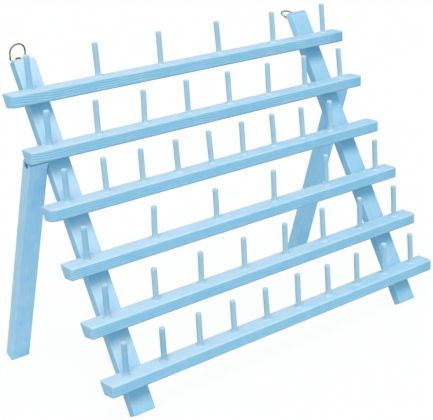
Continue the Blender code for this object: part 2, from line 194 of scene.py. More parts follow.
# Lamp, sky and floor
WHITE = (1, 1, 1, 1)
LAMP_TOWARDS = (-0.22, -0.39, 0.89)
LAMP_STRENGTH = 1.85
LAMP_SPREAD = math.radians(28)
LAMP_COLOUR = (1.0, 0.90, 0.85)
SKY_COLOUR = (0.78, 0.95, 1.0)
SKY_STRENGTH = 0.59
FLOOR_COLOUR = (0.80, 0.82, 0.83)
FLOOR_GLOW = 0.96
FLOOR_REACH = 30.0

# Strips: sizes of the copies that fill an end, the rings' ways from each end and the paint's waves
END_FILL = np.array([0.85, 0.7, 0.5, 0.3, 0.1])
END_RINGS = np.array([0.3, 0.7, 1.2, 1.9, 2.8, 3.9, 5.2, 6.8]) * MM
SWELL_WAVES = 5


# Shapes ---

def held(value):
    """Value held between 0 and 1."""
    return np.clip(value, 0, 1)


def smooth(share):
    """Share from 0 to 1 with its ends eased: 3 s^2 - 2 s^3."""
    return share * share * (3 - 2 * share)


def blend(share, first, second):
    return first + (second - first) * share


def rounding(radius, inside):
    """How far a round edge falls away, r - sqrt(r^2 - (r - d)^2), at a distance d inside it."""
    gap = np.clip(radius - inside, 0, radius)
    return radius - np.sqrt(radius ** 2 - gap ** 2)


def circle_angles(count):
    return np.linspace(0, 2 * math.pi, count, endpoint=False)


def on_board(across, up, out):
    """Board to world: up runs along the leaning uprights, out is square to their fronts.

    depth = up sin(lean) - out cos(lean), height = up cos(lean) + out sin(lean).
    """
    across, up, out = np.broadcast_arrays(across, up, out)
    depth = up * math.sin(LEAN) - out * math.cos(LEAN)
    height = up * math.cos(LEAN) + out * math.sin(LEAN)
    return np.stack([across, depth, height], -1) + np.array(BOARD_FOOT)


def on_leg(across, back, along):
    """Leg to world: along runs up the leg from its pivot, back is square to its front."""
    pivot = on_board(0.0, *PIVOT)
    across, back, along = np.broadcast_arrays(across, back, along)
    depth = back * math.cos(SPLAY) - along * math.sin(SPLAY)
    height = back * math.sin(SPLAY) + along * math.cos(SPLAY)
    return np.stack([across + BOARD_FOOT[0], depth + pivot[1], height + pivot[2]], -1)


def off_board(points):
    """Ways up the board and out from it of world points."""
    depth, height = points[:, 1] - BOARD_FOOT[1], points[:, 2] - BOARD_FOOT[2]
    up = depth * math.sin(LEAN) + height * math.cos(LEAN)
    return up, height * math.sin(LEAN) - depth * math.cos(LEAN)


def swell(a, b, reach, seed):
    """Mean of sine waves with seeded directions, phases and wavelengths near reach."""
    rng = np.random.default_rng(seed)
    total = np.zeros(np.broadcast(a, b).shape)
    for _ in range(SWELL_WAVES):
        turn, phase = rng.uniform(0, 2 * math.pi, 2)
        wave = 2 * math.pi / (reach * rng.uniform(0.6, 1.7))
        total += np.sin(wave * (a * math.cos(turn) + b * math.sin(turn)) + phase)
    return total / SWELL_WAVES


def rounded_outline(corners, radius, spacing, arc_steps=5):
    """Closed outline with round corners.

    Each side is sampled evenly. Each corner is an arc that touches both sides at
    radius * tan(half the turn) from the corner. Returns points, outward normals, the way
    round in metres and the corner share, 1 on the middle of an arc.
    """
    corners = np.array(corners, float)
    following = np.roll(corners, -1, 0)
    ahead = following - corners
    length = np.linalg.norm(ahead, axis=1)
    ahead = ahead / length[:, None]
    area = np.sum(corners[:, 0] * following[:, 1] - corners[:, 1] * following[:, 0])
    side_sign = 1.0 if area > 0 else -1.0
    turns = [
        math.atan2(into[0] * away[1] - into[1] * away[0], float(into @ away))
        for into, away in zip(np.roll(ahead, 1, 0), ahead)
    ]
    cuts = [radius * abs(math.tan(turn / 2)) for turn in turns]
    points, normals, share = [], [], []
    for index, (turn, cut) in enumerate(zip(turns, cuts)):
        into, away = ahead[index - 1], ahead[index]
        inner_in = side_sign * np.array([-into[1], into[0]])
        centre = corners[index] - into * cut + inner_in * radius
        start = math.atan2(-inner_in[1], -inner_in[0])
        angles = start + turn * np.linspace(0, 1, arc_steps + 1)
        spread = np.stack([np.cos(angles), np.sin(angles)], 1)
        points.append(centre + radius * spread)
        normals.append(spread)
        share.append(np.sin(np.linspace(0, math.pi, arc_steps + 1)))
        span = length[index] - cut - cuts[(index + 1) % len(cuts)]
        steps = max(2, int(round(span / spacing)))
        fractions = np.linspace(0, 1, steps + 1)[1:-1]
        side = corners[index] + away * (cut + span * fractions)[:, None]
        points.append(side)
        normals.append(np.repeat(-side_sign * np.array([[-away[1], away[0]]]), len(side), 0))
        share.append(np.zeros(len(side)))
    points = np.concatenate(points)
    steps_round = np.linalg.norm(np.roll(points, -1, 0) - points, axis=1)
    way = np.concatenate([[0.0], np.cumsum(steps_round)[:-1]])
    return points, np.concatenate(normals), way, np.concatenate(share)


def strip(corners, radius, low, high, spacing, pitch, place, dents=None, end_radius=0.0007, extra=()):
    """Strip: a rounded outline carried along a straight line, its ends rounded over.

    A ring at angle t of an end's rounding is drawn in by end_radius (1 - sin t) and set back
    by end_radius (1 - cos t). low and high may be functions of the outline's points, for ends
    that aren't square; the high end is then filled by smaller copies of its outline, each at
    its own height. dents(points, normals, along, way) returns how far each point moves
    inwards. extra places along the strip get rings too. Returns rings of world points, and the
    share of corner at each point.
    """
    points, normals, way, share = rounded_outline(corners, radius, spacing)
    low_at = low(points) if callable(low) else np.full(len(points), low)
    high_at = high(points) if callable(high) else np.full(len(points), high)
    turn = np.linspace(0, math.pi / 2, 5)
    inset_end = end_radius * (1 - np.sin(turn))
    set_end = end_radius * (1 - np.cos(turn))
    reach = float(np.mean(high_at - low_at))
    near = END_RINGS / reach
    count = max(3, int(round(reach / pitch)))
    middle = np.linspace(near[-1], 1 - near[-1], count + 1)[1:-1]
    extra_shares = (np.asarray(extra, float) - np.mean(low_at)) / reach
    middle = np.unique(np.concatenate([near, middle, 1 - near, extra_shares]))
    inset = np.concatenate([inset_end, np.zeros(len(middle)), inset_end[::-1]])
    start = np.concatenate([set_end, np.full(len(middle) + len(turn), end_radius)])
    finish = np.concatenate([np.full(len(turn) + len(middle), end_radius), set_end[::-1]])
    share_along = np.concatenate([np.zeros(len(turn)), middle, np.ones(len(turn))])
    along = np.where(
        share_along[:, None] == 0, low_at + start[:, None],
        np.where(
            share_along[:, None] == 1, high_at - finish[:, None],
            low_at + end_radius + (high_at - low_at - 2 * end_radius) * share_along[:, None],
        ),
    )
    depth = np.broadcast_to(inset[:, None], along.shape).copy()
    if dents is not None:
        depth = depth + dents(points, normals, along, way)
    section = points[None] - normals[None] * depth[..., None]
    rings = place(section[..., 0], section[..., 1], along)
    end_share = 0.5 * np.concatenate([np.sin(2 * turn), np.zeros(len(middle)), np.sin(2 * turn)[::-1]])
    shares = np.maximum(share[None], end_share[:, None])
    if callable(high):
        smaller, centre = END_FILL[:, None, None], points.mean(0)
        filled = centre + (section[-1] - centre) * smaller
        heights = high((centre + (points - centre) * smaller).reshape(-1, 2)).reshape(len(END_FILL), -1)
        rings = np.concatenate([rings, place(filled[..., 0], filled[..., 1], heights)])
        shares = np.concatenate([shares, np.zeros(heights.shape)])
    return rings, shares


def turned(profile, sides, wobble=None):
    """Surface of revolution about Z: (radius cos t, radius sin t, height) for each profile point."""
    profile = np.array(profile, float)
    angle = circle_angles(sides)
    radius = np.broadcast_to(profile[:, :1], (len(profile), sides)).copy()
    height = np.broadcast_to(profile[:, 1:], (len(profile), sides)).copy()
    if wobble is not None:
        radius, height = wobble(radius, height, angle[None])
    return np.stack([radius * np.cos(angle), radius * np.sin(angle), height], -1)


def framed(local, origin, across, ahead, up):
    """Local points to world: origin + x across + y ahead + z up."""
    basis = np.array([across, ahead, up], float)
    return np.asarray(origin, float) + local @ basis


def tube(path, radius, sides):
    """Closed tube: a circle carried round a closed path, square to the path's chord there."""
    ahead = np.roll(path, -1, 0) - np.roll(path, 1, 0)
    ahead /= np.linalg.norm(ahead, axis=1)[:, None]
    first = np.cross(path[len(path) // 3] - path[0], path[2 * len(path) // 3] - path[0])
    first /= np.linalg.norm(first)
    second = np.cross(ahead, first)
    angle = circle_angles(sides)
    circle = np.cos(angle)[None, :, None] * first + np.sin(angle)[None, :, None] * second[:, None]
    return path[:, None] + radius * circle


# Meshes ---

def facing(points, faces):
    """Six times the volume from the origin to triangles, below 0 where they face inwards."""
    first, second, third = (points[faces[:, corner]] for corner in range(3))
    return np.einsum("ij,ij->i", first, np.cross(second, third)).sum()


def set_attribute(mesh, name, values):
    layer = mesh.attributes.new(name, "FLOAT", "POINT")
    layer.data.foreach_set("value", values.astype(np.float32))


def make_piece(name, rings, material, body, nodes=(), share=None, look=None, loop=False):
    """Mesh of a grid of rings: quads between rings, and a fan to a middle point at each end.

    loop joins the last ring to the first instead. share, one number a grid point, goes into
    the attribute corner_share. look gives the attributes fade and tone from the points and
    their normals.
    """
    rows, columns = rings.shape[:2]
    index = np.arange(rows * columns).reshape(rows, columns)
    lower = index if loop else index[:-1]
    upper = np.roll(index, -1, 0) if loop else index[1:]
    quads = np.stack([lower, np.roll(lower, -1, 1), np.roll(upper, -1, 1), upper], -1).reshape(-1, 4)
    points = rings.reshape(-1, 3)
    fans = np.zeros((0, 3), int)
    if not loop:
        points = np.concatenate([points, rings[:1].mean(1), rings[-1:].mean(1)])
        first, last = rows * columns, rows * columns + 1
        low_fan = np.stack([np.roll(index[0], -1), index[0], np.full(columns, first)], -1)
        high_fan = np.stack([index[-1], np.roll(index[-1], -1), np.full(columns, last)], -1)
        fans = np.concatenate([low_fan, high_fan])
    triangles = np.concatenate([quads[:, :3], quads[:, [0, 2, 3]], fans])
    if facing(points, triangles) < 0:
        quads, fans = quads[:, ::-1], fans[:, ::-1]
    corners = np.concatenate([quads.ravel(), fans.ravel()])
    starts = np.concatenate([np.arange(len(quads)) * 4, len(quads) * 4 + np.arange(len(fans)) * 3])
    mesh = bpy.data.meshes.new(name)
    mesh.vertices.add(len(points))
    mesh.vertices.foreach_set("co", points.ravel())
    mesh.loops.add(len(corners))
    mesh.loops.foreach_set("vertex_index", corners.astype(np.int32))
    mesh.polygons.add(len(starts))
    mesh.polygons.foreach_set("loop_start", starts.astype(np.int32))
    mesh.update(calc_edges=True)
    mesh.validate()
    mesh.shade_smooth()
    if share is not None:
        values = np.zeros(len(points))
        values[: share.size] = share.ravel()
        set_attribute(mesh, "corner_share", values)
    if look is not None:
        normals = np.zeros(len(points) * 3, np.float32)
        mesh.vertex_normals.foreach_get("vector", normals)
        for attribute_name, values in zip(("fade_and_painted_light", "tone"), look(points, normals.reshape(-1, 3))):
            set_attribute(mesh, attribute_name, np.broadcast_to(values, len(points)))
    mesh.materials.append(material)
    made = bpy.data.objects.new(name, mesh)
    bpy.context.scene.collection.objects.link(made)
    if nodes:
        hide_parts(*nodes)
    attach(made, body)


# Materials ---

def new_material(name):
    material = bpy.data.materials.new(name)
    material.use_nodes = True
    tree = material.node_tree
    return material, tree, tree.nodes["Principled BSDF"]


def set_inputs(tree, node, inputs):
    """Inputs of a node: another node's output is linked, any other value is set."""
    for key, value in inputs.items():
        if isinstance(value, bpy.types.NodeSocket):
            tree.links.new(value, node.inputs[key])
        else:
            node.inputs[key].default_value = value


def add_node(tree, kind, output, inputs, operation=None):
    """One output of a new node with these inputs, and its operation where it has one."""
    node = tree.nodes.new(f"ShaderNode{kind}")
    if operation is not None:
        node.operation = operation
    set_inputs(tree, node, inputs)
    return node.outputs[output]


def add_noise(tree, source, scale, detail=3.0, roughness=0.55):
    inputs = {"Vector": source, "Scale": scale, "Detail": detail, "Roughness": roughness}
    return add_node(tree, "TexNoise", "Fac", inputs)


def add_ramp(tree, source, stops):
    ramp = tree.nodes.new("ShaderNodeValToRGB")
    elements = ramp.color_ramp.elements
    while len(elements) < len(stops):
        elements.new(0.5)
    for element, (place, colour) in zip(elements, stops):
        element.position = place
        element.color = (*colour, 1)
    tree.links.new(source, ramp.inputs["Fac"])
    return ramp.outputs["Color"]


def opaque(colour):
    """Colour with its alpha; another node's output stays as it is."""
    return (*colour, 1) if isinstance(colour, tuple) else colour


def add_mix(tree, share, first, second, blend_type="MIX"):
    mix = tree.nodes.new("ShaderNodeMix")
    mix.data_type = "RGBA"
    mix.blend_type = blend_type
    set_inputs(tree, mix, {0: share, 6: opaque(first), 7: opaque(second)})
    return mix.outputs[2]


def add_bump(tree, height, strength, distance, below=None):
    inputs = {"Height": height, "Strength": strength, "Distance": distance}
    if below is not None:
        inputs["Normal"] = below
    return add_node(tree, "Bump", "Normal", inputs)


def add_math(tree, operation, *values):
    """Math on numbers or other nodes' outputs."""
    return add_node(tree, "Math", 0, dict(enumerate(values)), operation)


def add_scaled(tree, colour, factor):
    """A colour times a number."""
    return add_node(tree, "VectorMath", 0, {0: colour, "Scale": factor}, "SCALE")


def grey(value):
    return (value,) * 3


def attribute(tree, name):
    node = tree.nodes.new("ShaderNodeAttribute")
    node.attribute_name = name
    return node.outputs["Fac"]


def paint_on_wood(name, turn, grain_axis, deep=PAINT_DEEP, faded_and_highlit=PAINT_FADED_AND_HIGHLIT):
    """Satin paint on a strip: mottled in paleness, grain drawn out along the strip, corners paler from
    wear and a painted highlight.

    The fade attribute, which carries painted light and shade, pushed up and down by noise in
    patches and by the grain, mixes the deep colour with the pale one, and the tone attribute,
    which carries painted light and shade too, darkens or lightens it. turn is the strip's turn
    about X, so that the grain runs along it, and grain_axis is the axis that it runs along before
    the turn.
    """
    material, tree, shader = new_material(name)
    flat = add_node(tree, "TexCoord", "Object", {})
    straight = add_node(tree, "Mapping", "Vector", {"Vector": flat, "Rotation": (turn, 0, 0)})
    stretch = [GRAIN_ACROSS] * 3
    stretch["XYZ".index(grain_axis)] = GRAIN_ALONG
    drawn = add_node(tree, "Mapping", "Vector", {"Vector": straight, "Scale": stretch})

    grain = add_noise(tree, drawn, 1.0, 3.0, 0.6)
    patches = add_noise(tree, flat, 75.0, 2.0)
    spots = add_noise(tree, flat, 240.0, 2.0)
    broad, fine, drawn_out = (
        add_math(tree, "MULTIPLY_ADD", noise, swing, -swing / 2)
        for noise, swing in ((patches, 0.75), (spots, 0.5), (grain, 0.7))
    )
    push = add_math(tree, "ADD", add_math(tree, "ADD", broad, fine), drawn_out)
    paleness = add_math(tree, "ADD", attribute(tree, "fade_and_painted_light"), push)
    base = add_mix(tree, add_node(tree, "Clamp", 0, {"Value": paleness}), deep, faded_and_highlit)
    streak = add_ramp(tree, grain, ((0.35, (0.95, 0.965, 0.98)), (0.62, (1.0, 1.0, 1.0))))
    base = add_mix(tree, 0.8, base, streak, "MULTIPLY")
    # Corners paler from wear, with a highlight painted on them
    wear_and_glint = add_ramp(tree, add_noise(tree, flat, 90.0), ((0.35, grey(0.05)), (0.65, grey(0.6))))
    worn_and_highlit_corners = add_math(tree, "MULTIPLY", attribute(tree, "corner_share"), wear_and_glint)
    base = add_mix(tree, worn_and_highlit_corners, base, PAINT_WORN_AND_HIGHLIT)
    rough = add_ramp(tree, add_noise(tree, flat, 160.0), ((0.3, grey(0.42)), (0.7, grey(0.56))))
    orange_peel = add_bump(tree, add_noise(tree, flat, 900.0, 2.0), 0.25, 0.00006)
    set_inputs(tree, shader, {
        "Base Color": add_scaled(tree, base, attribute(tree, "tone")),
        "Roughness": rough,
        "Specular IOR Level": 0.35,
        "Normal": add_bump(tree, grain, 0.5, 0.00012, orange_peel),
    })
    return material


def metal(name, dark, light, roughness, patch_scale, wear_and_glint=None):
    """Metal whose colour drifts between two tones in patches, with fine scratches.

    A pale colour, where given, is mixed in by the fade attribute where a glint is painted, and the tone
    attribute scales the whole.
    """
    material, tree, shader = new_material(name)
    flat = add_node(tree, "TexCoord", "Object", {})
    patches = add_noise(tree, flat, patch_scale, 4.0)
    base = add_ramp(tree, patches, ((0.36, dark), (0.64, light)))
    if wear_and_glint is not None:
        base = add_mix(tree, attribute(tree, "fade_and_painted_light"), base, wear_and_glint)
        base = add_scaled(tree, base, attribute(tree, "tone"))
    low, high = roughness
    set_inputs(tree, shader, {
        "Base Color": base,
        "Roughness": add_ramp(tree, patches, ((0.3, grey(high)), (0.7, grey(low)))),
        "Metallic": 1.0,
        "Normal": add_bump(tree, add_noise(tree, flat, 2600.0, 3.0), 0.3, 0.00004),
    })
    return material


rail_paint = paint_on_wood("rail_paint", LEAN - RAIL_TILT, "X")
upright_paint = paint_on_wood("upright_paint", LEAN, "Z")
leg_paint = paint_on_wood("leg_paint", -SPLAY, "Z")
peg_paint = paint_on_wood("peg_paint", LEAN - RAIL_TILT, "Z", DOWEL_DEEP, DOWEL_FADED_AND_HIGHLIT)
# Aged brass; its third, pale colour is where glints on the rings and straps are painted
aged_brass = metal(
    "aged_brass", (0.115, 0.100, 0.055), (0.32, 0.285, 0.19), (0.30, 0.50), 420.0, (0.90, 0.87, 0.80),
)
screw_steel = metal("screw_steel", (0.36, 0.35, 0.33), (0.62, 0.61, 0.58), (0.28, 0.42), 700.0)


# Rails ---

def across_share(points):
    """0 at the rack's left end, 1 at its right end."""
    return held(points[:, 0] / RACK_WIDTH + 0.5)


def lit_share(normals):
    """How squarely faces meet the light: (normal . towards the light - 0.45) / 0.3, within 0 to 1."""
    return held((normals @ np.array(TOWARDS_LIGHT) - 0.45) / 0.3)


def rail_rise(row):
    return LOWEST_RAIL_UP + (len(ROW_PLACES) - 1 - row) * RAIL_PITCH + ROW_RISES[row] * MM


def rail_ends(row):
    """Places across of a rail's ends."""
    return RAIL_ENDS[0] - ROW_ENDS["left"][row] * MM, RAIL_ENDS[1] + ROW_ENDS["right"][row] * MM


def way_forward(row, up, out):
    """Way forward over a rail's top from its low back edge."""
    rise = up - rail_rise(row) - RAIL_LOW_BACK_RISE
    return (out - RAIL_BACK_OUT) * TILT_COS - rise * TILT_SIN


def rail_corners(row):
    """Corners of a rail's section as (up, out): front below and above, back above and below.

    The top face stands RAIL_SWELL higher than the bare wood and the low front edge lower.
    """
    up = rail_rise(row)
    along_front = np.array([TILT_COS, TILT_SIN])
    along_top = np.array([TILT_SIN, -TILT_COS])
    top_front = np.array([RAIL_FRONT_HEIGHT * TILT_COS, RAIL_TOP_DEPTH * TILT_COS])
    low_front = top_front - RAIL_FRONT_HEIGHT * along_front
    top_back = top_front + RAIL_TOP_DEPTH * along_top
    top_front = top_front + RAIL_SWELL * along_front
    top_back = top_back + RAIL_SWELL * np.array([1 / TILT_COS, 0])
    low_front = low_front - RAIL_SWELL * along_front
    start = np.array([up, RAIL_BACK_OUT])
    front_and_top = [tuple(start + corner) for corner in (low_front, top_front, top_back)]
    return front_and_top + [(up + RAIL_LOW_BACK_RISE, RAIL_BACK_OUT)]


def saw_marks(row, along, way):
    """Saw marks, from -1 to 1: sin(2 pi (way round / spacing + slow waves of along)) in patches."""
    wander = 0.45 * np.sin(along * 41 + row) + 0.3 * np.sin(along * 97 + 2 * row) + along * 9
    patches = held(0.55 + 0.75 * swell(along, way, 0.05, 20 + row)) * SAW_CLARITY[row]
    near_left = np.exp(-np.clip(along + 0.02, 0, None) / 0.05)
    patches = patches + (1 - patches) * SAW_CLARITY[row] * near_left
    return np.sin(2 * math.pi * (way / SAW_SPACING + wander)) * patches


def rail_dents(row):
    """Saw marks, strongest on a rail's front, and the paint's swells."""
    def dents(points, normals, along, way):
        front = held(normals[:, 1] * TILT_COS - normals[:, 0] * TILT_SIN) ** 8
        soft = swell(along, way[None], 0.045, 40 + row)
        marks = SAW_DEPTH[row] * MM * front[None] * saw_marks(row, along, way[None])
        return marks + 0.04 * MM * (soft + 1)
    return dents


def rail_place(row):
    """Board place of a rail's point, the front corners drawn back round an arc at both ends.

    Near an end the way forward from the back shrinks by the share rounding / whole depth. The
    left end is a little out of square: its front lies further in by the row's skew, which fades
    out along the rail.
    """
    low_round, high_round = (ROW_CORNERS[end][row] * MM for end in ("left", "right"))
    low_end, high_end = rail_ends(row)

    def place(up, out, across):
        drawn = np.zeros(np.broadcast(up, across).shape)
        for radius, inside in ((low_round, across - low_end), (high_round, high_end - across)):
            drawn = drawn + rounding(radius, inside)
        forward = way_forward(row, up, out)
        pull = np.clip(forward, 0, None) * drawn / RAIL_TOP_DEPTH
        skew = held(forward / RAIL_TOP_DEPTH) * held(1 - (across - low_end) / SKEW_REACH)
        across = across + ROW_END_SKEWS[row] * MM * skew
        return on_board(across, up + pull * TILT_SIN, out - pull * TILT_COS)
    return place


def rail_look(row):
    """Rails: highlight painted on the tops, most at the left and behind; fronts deep, paler low
    down, with a highlight painted on the saw marks' crests.

    The shade of the under faces, the left ends and the right ends' neighbourhood is painted in.
    """
    low_up, low_out = rail_corners(row)[0]

    def look(points, normals):
        up, out = off_board(points)
        forward = way_forward(row, up, out)
        front_way = (up - low_up) * TILT_COS + (out - low_out) * TILT_SIN
        lit, across = lit_share(normals), across_share(points)
        behind = held(1 - forward / RAIL_TOP_DEPTH) ** 2
        front = held(-normals[:, 1]) ** 6
        low = held(1 - front_way / (5 * MM))
        to_end = rail_ends(row)[1] + BOARD_FOOT[0] - points[:, 0]
        end = ROW_END_SHADES[row] * (held(1.7 - to_end / (12 * MM)) + held(1 - to_end / (3 * MM)))
        left_face = held(-normals[:, 0]) ** 4
        under = held(-1.6 * normals[:, 2] - 0.3)
        marks = saw_marks(row, points[:, 0] - BOARD_FOOT[0], front_way)
        fade_and_painted_light = blend(lit, 0.05, blend(across, 0.88, 0.38) + 0.22 * behind)
        fade_and_painted_light -= 0.1 * end * (1 - lit)
        fade_and_painted_light += front * (0.30 * np.clip(-marks, -0.3, 1) + 0.30 * low) + 0.26 * left_face - 0.3 * under
        top_tone = ROW_TOP_TONES[row] * blend(across, 1.01, 0.98) - 0.055 * behind
        tone = blend(lit, blend(across, 0.975, 0.935), top_tone)
        tone += -0.10 * front * marks - (0.09 - 0.05 * lit) * end - 0.095 * left_face - 0.42 * under
        return fade_and_painted_light, tone
    return look


for row in range(len(ROW_PLACES)):
    rings, share = strip(
        rail_corners(row), 1.7 * MM, *rail_ends(row), spacing=0.3 * MM, pitch=2.0 * MM,
        place=rail_place(row), dents=rail_dents(row), end_radius=1.1 * MM,
    )
    make_piece(
        f"rail_strip_{row + 1}", rings, rail_paint, "board", [f"rail_{row + 1}"], share,
        rail_look(row),
    )


# Pegs ---

def peg_profile(height, fillet):
    """(radius, height) of a peg: a hollow paint fillet at the foot, a long shank, an eased tip."""
    turn = np.linspace(0, math.pi / 2, 6)
    foot = np.stack([
        PEG_RADIUS + fillet * (1 - np.sin(turn)), fillet * PEG_FILLET_RISE * (1 - np.cos(turn))
    ], 1)
    buried = np.array([[PEG_RADIUS + fillet * 0.9, -0.8 * MM]])
    rises = np.linspace(fillet * PEG_FILLET_RISE, height - PEG_TIP_EASE, 14)[1:-1]
    shank = np.stack([np.full(len(rises), PEG_RADIUS), rises], 1)
    tip = np.stack([
        PEG_RADIUS - PEG_TIP_EASE * (1 - np.cos(turn)), height - PEG_TIP_EASE * (1 - np.sin(turn))
    ], 1)
    top = np.array([[PEG_RADIUS * 0.55, height + 0.03 * MM], [PEG_RADIUS * 0.25, height + 0.05 * MM]])
    return np.concatenate([buried, foot, shank, tip, top])


def make_peg(row, place):
    """One dowel: turned about its own line, which strays a little from the rail's square."""
    foot_shift, tip_shift, extra = (value * MM for value in PEG_STRAYS[row][place])
    corners = np.array(rail_corners(row))
    up, out = (corners[1] + corners[2]) / 2
    across = PEG_SPAN * place / (ROW_PLACES[row] - 1)
    height = PEG_STAND + extra - ROW_RISES[row] * MM - RAIL_SWELL
    foot = on_board(across + foot_shift, up, out)
    stand = np.array([0.0, -math.sin(RAIL_TILT - LEAN), math.cos(RAIL_TILT - LEAN)])
    ahead = np.cross(stand, ACROSS)
    seed = 100 * row + place
    fillet = (1.75 + 0.4 * math.sin(seed * 2.3)) * MM

    def wobble(radius, heights, angle):
        at_foot = np.exp(-held(heights) / (1.0 * MM)) * (radius > PEG_RADIUS * 1.02)
        uneven = 1 + 0.25 * np.sin(angle + seed) * at_foot
        thick = 0.035 * MM * swell(angle * 3 * MM + 0 * heights, heights + 0 * angle, 0.012, seed)
        thick = thick * (radius > PEG_RADIUS * 0.6)
        return PEG_RADIUS + (radius - PEG_RADIUS) * uneven + thick, heights

    local = turned(peg_profile(height, fillet), 24, wobble)
    local[..., 0] += (tip_shift - foot_shift) * held(local[..., 2] / height)
    rings = framed(local, foot, ACROSS, ahead, stand)
    share = (local[..., 2] > height - 0.8 * MM) * 0.8 + (local[..., 2] < 1 * MM) * 0.5
    node = "rail_1" if row == 0 else f"peg_{row + 1}_{place + 1}"

    middle_fade, middle_tone = PEG_BLUES.get((row, place), (PEG_FADE, ROW_PEG_TONES[row]))
    paint = rail_paint if (row, place) in PEG_BLUES else peg_paint

    def look(points, normals):
        """Paler where paint ran together at the foot, a little paler at the tip.

        The foot's paleness is partly a painted highlight; the tip's is a painted highlight.
        """
        rise = (points - foot) @ stand
        low = np.exp(-np.clip(rise, 0, None) / (5 * MM))
        high = np.exp(-np.clip(height - rise, 0, None) / (2 * MM))
        tip = 0.13 if (row, place) in PEG_BLUES else -0.05
        return middle_fade + 0.60 * low + (0.45 + tip) * high, middle_tone + 0.06 * low + tip * high

    make_piece(f"dowel_{row + 1}_{place + 1}", rings, paint, "board", [node], share, look)


for row in range(len(ROW_PLACES)):
    for place in range(ROW_PLACES[row] - ROW_BARE[row]):
        make_peg(row, place)


# Uprights and legs ---

def plain_dents(seed, depth=0.08):
    """Paint swells: depth * (1 + mean of sine waves) / 2 along and round a strip."""
    def dents(points, normals, along, way):
        return depth * MM * (1 + swell(along, way[None], 0.06, seed)) * 0.5
    return dents


def upright_end(side):
    """Height of an upright's top: square behind, rounded over towards its front."""
    top, turn = UPRIGHT_LENGTH + UPRIGHT_TOP_RISES[side], UPRIGHT_TOP_ROUNDS[side]

    def height(points):
        return top - rounding(turn, -points[:, 1])
    return height


def upright_look(points, normals):
    """Uprights: highlight painted on fronts, but not just below a rail, where shade is painted.

    lee = (way below the nearest rail's back above - start) / reach, held between 0 and 1 and
    smoothed; start and reach are shorter on the left. Above the top rail a highlight is painted
    on the right upright's side, as pale as its front, and below the third rail on its side away
    from the rail. Shade is painted on the left upright's side below a rail and on the fronts
    below the lowest rail, and highlight and shade near the left upright's top.
    """
    up, _ = off_board(points)
    low_back = LOWEST_RAIL_UP + RAIL_LOW_BACK_RISE
    below = (low_back - up) % RAIL_PITCH
    below = np.where(up > low_back + (len(ROW_PLACES) - 1) * RAIL_PITCH, RAIL_PITCH, below)
    left = points[:, 0] < 0
    lee = held((below - blend(left, *LEE_STARTS) * MM) / (blend(left, *LEE_REACHES) * MM))
    lit, across = lit_share(normals), across_share(points)
    lee = smooth(lee) ** blend(across, 1.2, 1.8)
    fade_and_painted_light = blend(lit, blend(across, 0.23, 0.06), blend(across, 0.86, 0.40) * lee)
    front_tone = blend(across, blend(lee, 1.11, 1.06), blend(lee, 1.05, 0.96))
    tone = blend(lit, blend(across, 0.925, 0.905), front_tone)
    above = held((up - UPRIGHT_LENGTH + 36 * MM) / (8 * MM)) * ~left * (1 - lit)
    top_left = held((up - UPRIGHT_LENGTH + 30 * MM) / (8 * MM)) * left
    fade_and_painted_light += 0.3 * above + 0.12 * top_left * lit
    side = held(-normals[:, 0]) ** 4
    side_lee = side * left * (1 - lee)
    side_open = side * ~left * lee * (up < LOWEST_RAIL_UP + 3 * RAIL_PITCH)
    fade_and_painted_light += 0.12 * side_open
    tone += 0.075 * side_open
    fade_and_painted_light -= 0.22 * side_lee + 0.14 * lit * across * (1 - lee)
    tone -= 0.09 * side_lee
    foot = lit * lee * (up < LOWEST_RAIL_UP)
    fade_and_painted_light -= foot * blend(left, 0.14, 0.50)
    tone -= foot * blend(left, 0.08, 0.07)
    tip = held((up - UPRIGHT_LENGTH + 4 * MM) / (1 * MM)) * ~left * lit
    return fade_and_painted_light, tone + 0.26 * above - 0.10 * top_left * (1 - lit) - 0.17 * tip


def leg_look(side):
    """Legs: fronts a little paler than their sides, the pivot's recess dark.

    Both are painted: light and shade by face, and shade in the recess.
    """
    def look(points, normals):
        front = held(-normals[:, 1]) ** 4
        pivot = on_board(0.0, *PIVOT)
        depth, height = points[:, 1] - pivot[1], points[:, 2] - pivot[2]
        back = depth * math.cos(SPLAY) + height * math.sin(SPLAY)
        along = height * math.cos(SPLAY) - depth * math.sin(SPLAY)
        middle = UPRIGHT_EDGES[side] + UPRIGHT_WIDTH / 2 + BOARD_FOOT[0]
        outer = np.abs(points[:, 0] - middle) > UPRIGHT_WIDTH / 2 + LEG_WIDTH / 2
        hollow = 1 - RECESS_PAINTED_SHADE * recess_share(back - LEG_STRAYS[side][2][0] * MM, along) * outer
        fades, tones = LEG_LOOKS[side]
        return blend(front, *fades), blend(front, *tones) * hollow
    return look


for side, edge in UPRIGHT_EDGES.items():
    low, high = edge + UPRIGHT_NUDGES[side][0], edge + UPRIGHT_WIDTH + UPRIGHT_NUDGES[side][1]
    section = [(low, 0.0), (low, UPRIGHT_BACK), (high, UPRIGHT_BACK), (high, 0.0)]
    rings, share = strip(
        section, 0.9 * MM, 0.0, upright_end(side), spacing=0.6 * MM, pitch=2.5 * MM,
        place=lambda across, out, up: on_board(across, up, out),
        dents=plain_dents(len(side)), end_radius=0.9 * MM,
    )
    make_piece(
        f"upright_strip_{side}", rings, upright_paint, "board", [f"upright_{side}"], share,
        upright_look,
    )


def leg_end(points):
    """Height of the leg's upper end: square, rounded over a little in front and more behind."""
    height = np.full(len(points), LEG_TOP)
    for radius, inside in zip(LEG_TOP_ROUNDS, (points[:, 1] - LEG_FRONT, LEG_BACK - points[:, 1])):
        height -= rounding(radius, inside)
    return height


def recess_share(back, along):
    """1 within the pivot's recess, falling smoothly to 0 over its rim."""
    away = np.hypot(back - PIVOT_RECESS["back"], along - PIVOT_RECESS["along"])
    edge = held((PIVOT_RECESS["radius"] + RECESS_RIM / 2 - away) / RECESS_RIM)
    return smooth(edge)


